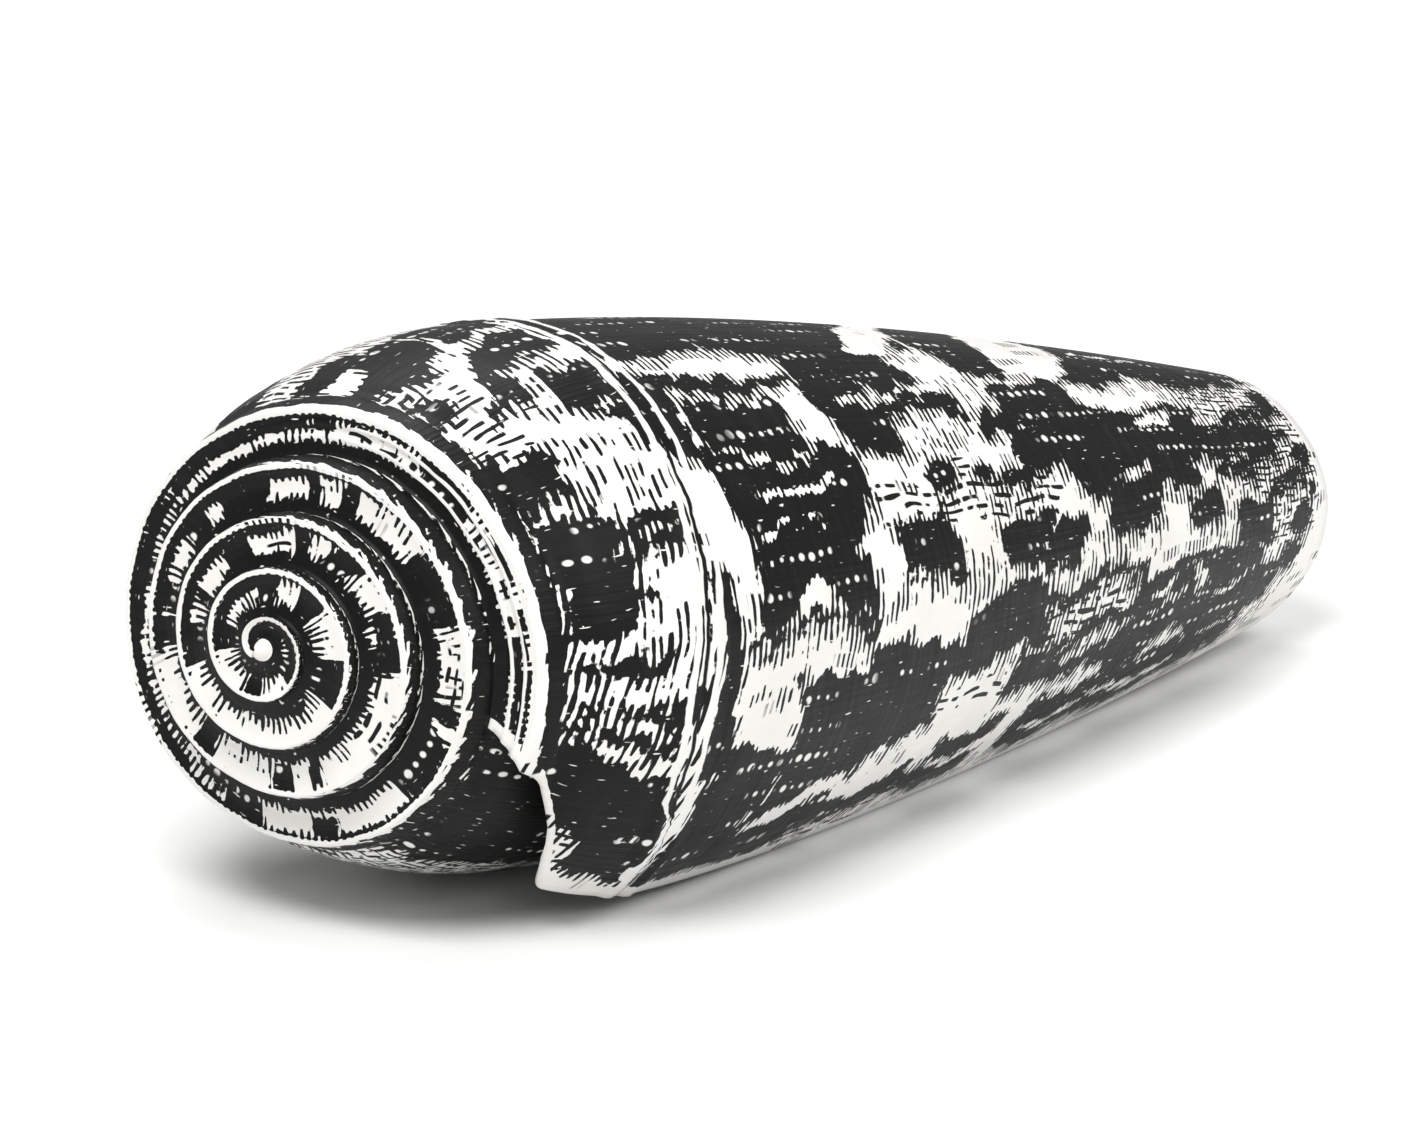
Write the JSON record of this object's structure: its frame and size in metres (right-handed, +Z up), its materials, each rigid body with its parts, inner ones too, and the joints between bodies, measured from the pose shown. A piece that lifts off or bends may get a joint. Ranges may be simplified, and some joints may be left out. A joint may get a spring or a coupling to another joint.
{
  "type": "cone shell",
  "caption": "Cone-shaped sea shell with a low stepped spire, a long tapering body and a narrow mouth along its underside.",
  "frame": {"origin": "on the surface the shell lies on, below the middle of its bounding box", "axes": "+X from the spire to the front end, +Z up, -Y towards the lip's edge"},
  "size_m": [0.089, 0.0348, 0.0298],
  "materials": {
    "shell": "polished ivory-white shell with near-black blotches"
  },
  "bodies": {
    "root": {"shell": "shell"}
  },
  "joints": []
}
